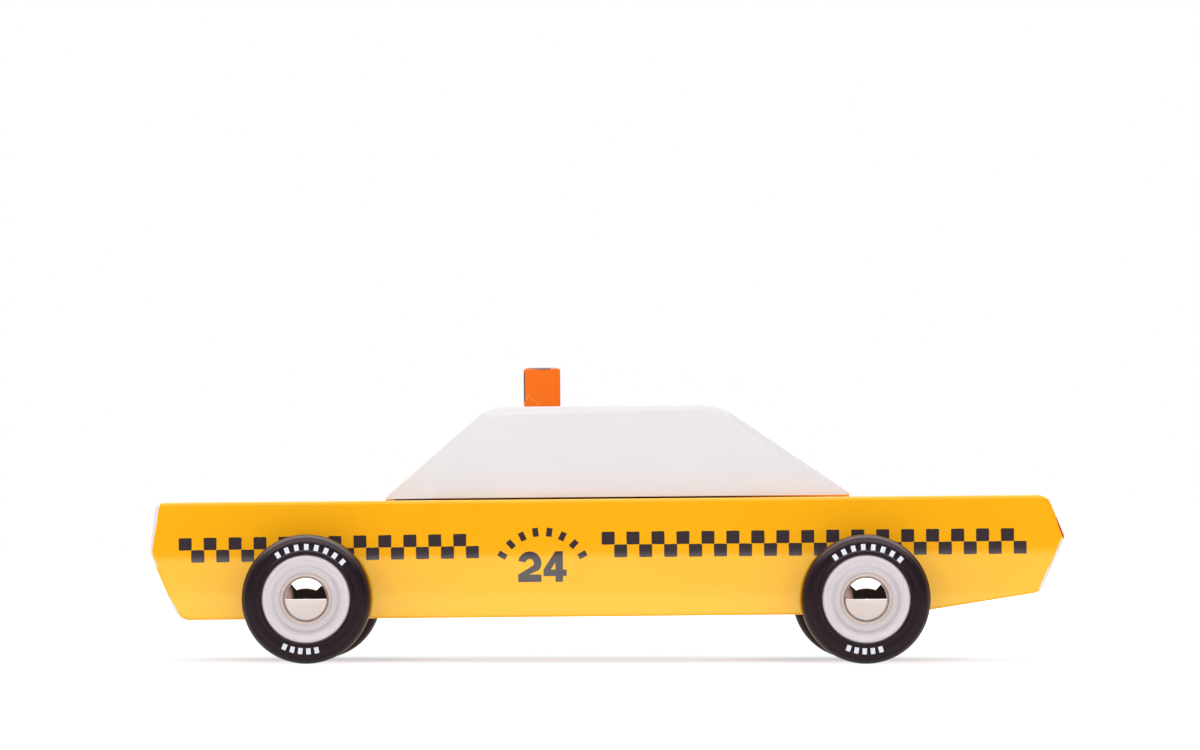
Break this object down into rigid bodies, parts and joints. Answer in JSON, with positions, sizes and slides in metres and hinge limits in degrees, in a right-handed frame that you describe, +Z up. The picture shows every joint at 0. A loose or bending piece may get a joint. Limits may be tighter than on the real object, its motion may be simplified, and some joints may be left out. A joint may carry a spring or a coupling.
{
  "type": "wooden toy taxi cab",
  "caption": "Wooden toy taxi cab with a long yellow block body, a white cabin, a plain roof sign and rubber-tyred wheels that turn freely on steel pins.",
  "frame": {"origin": "on the floor under the middle of the car's box", "axes": "X along the car with the nose towards -X, Y across it, Z up"},
  "size_m": [0.1828, 0.079, 0.0595],
  "materials": {
    "yellow_paint": "gloss paint on beech",
    "white_paint": "gloss paint on beech",
    "orange_paint": "satin paint on beech",
    "axle_steel": "drawn",
    "bright_cap": "polished",
    "hub_plastic": "moulded",
    "tyre_rubber": "satin"
  },
  "bodies": {
    "car": {"body_block": "yellow_paint", "cabin_block": "white_paint", "roof_sign": "orange_paint", "axle_front": "axle_steel", "axle_rear": "axle_steel", "cap_front_left": "bright_cap", "cap_front_right": "bright_cap", "cap_rear_left": "bright_cap", "cap_rear_right": "bright_cap"},
    "wheel_front_left": {"hub_front_left": "hub_plastic", "tyre_front_left": "tyre_rubber"},
    "wheel_front_right": {"hub_front_right": "hub_plastic", "tyre_front_right": "tyre_rubber"},
    "wheel_rear_left": {"hub_rear_left": "hub_plastic", "tyre_rear_left": "tyre_rubber"},
    "wheel_rear_right": {"hub_rear_right": "hub_plastic", "tyre_rear_right": "tyre_rubber"}
  },
  "joints": [
    {"name": "wheel_front_left_spin", "type": "hinge", "parent": "car", "child": "wheel_front_left", "pos_m": [-0.05988, -0.0333, 0.01285], "axis": [0, 1, 0], "continuous": true},
    {"name": "wheel_front_right_spin", "type": "hinge", "parent": "car", "child": "wheel_front_right", "pos_m": [-0.05988, 0.0333, 0.01285], "axis": [0, 1, 0], "continuous": true},
    {"name": "wheel_rear_left_spin", "type": "hinge", "parent": "car", "child": "wheel_rear_left", "pos_m": [0.05132, -0.0333, 0.01285], "axis": [0, 1, 0], "continuous": true},
    {"name": "wheel_rear_right_spin", "type": "hinge", "parent": "car", "child": "wheel_rear_right", "pos_m": [0.05132, 0.0333, 0.01285], "axis": [0, 1, 0], "continuous": true}
  ]
}
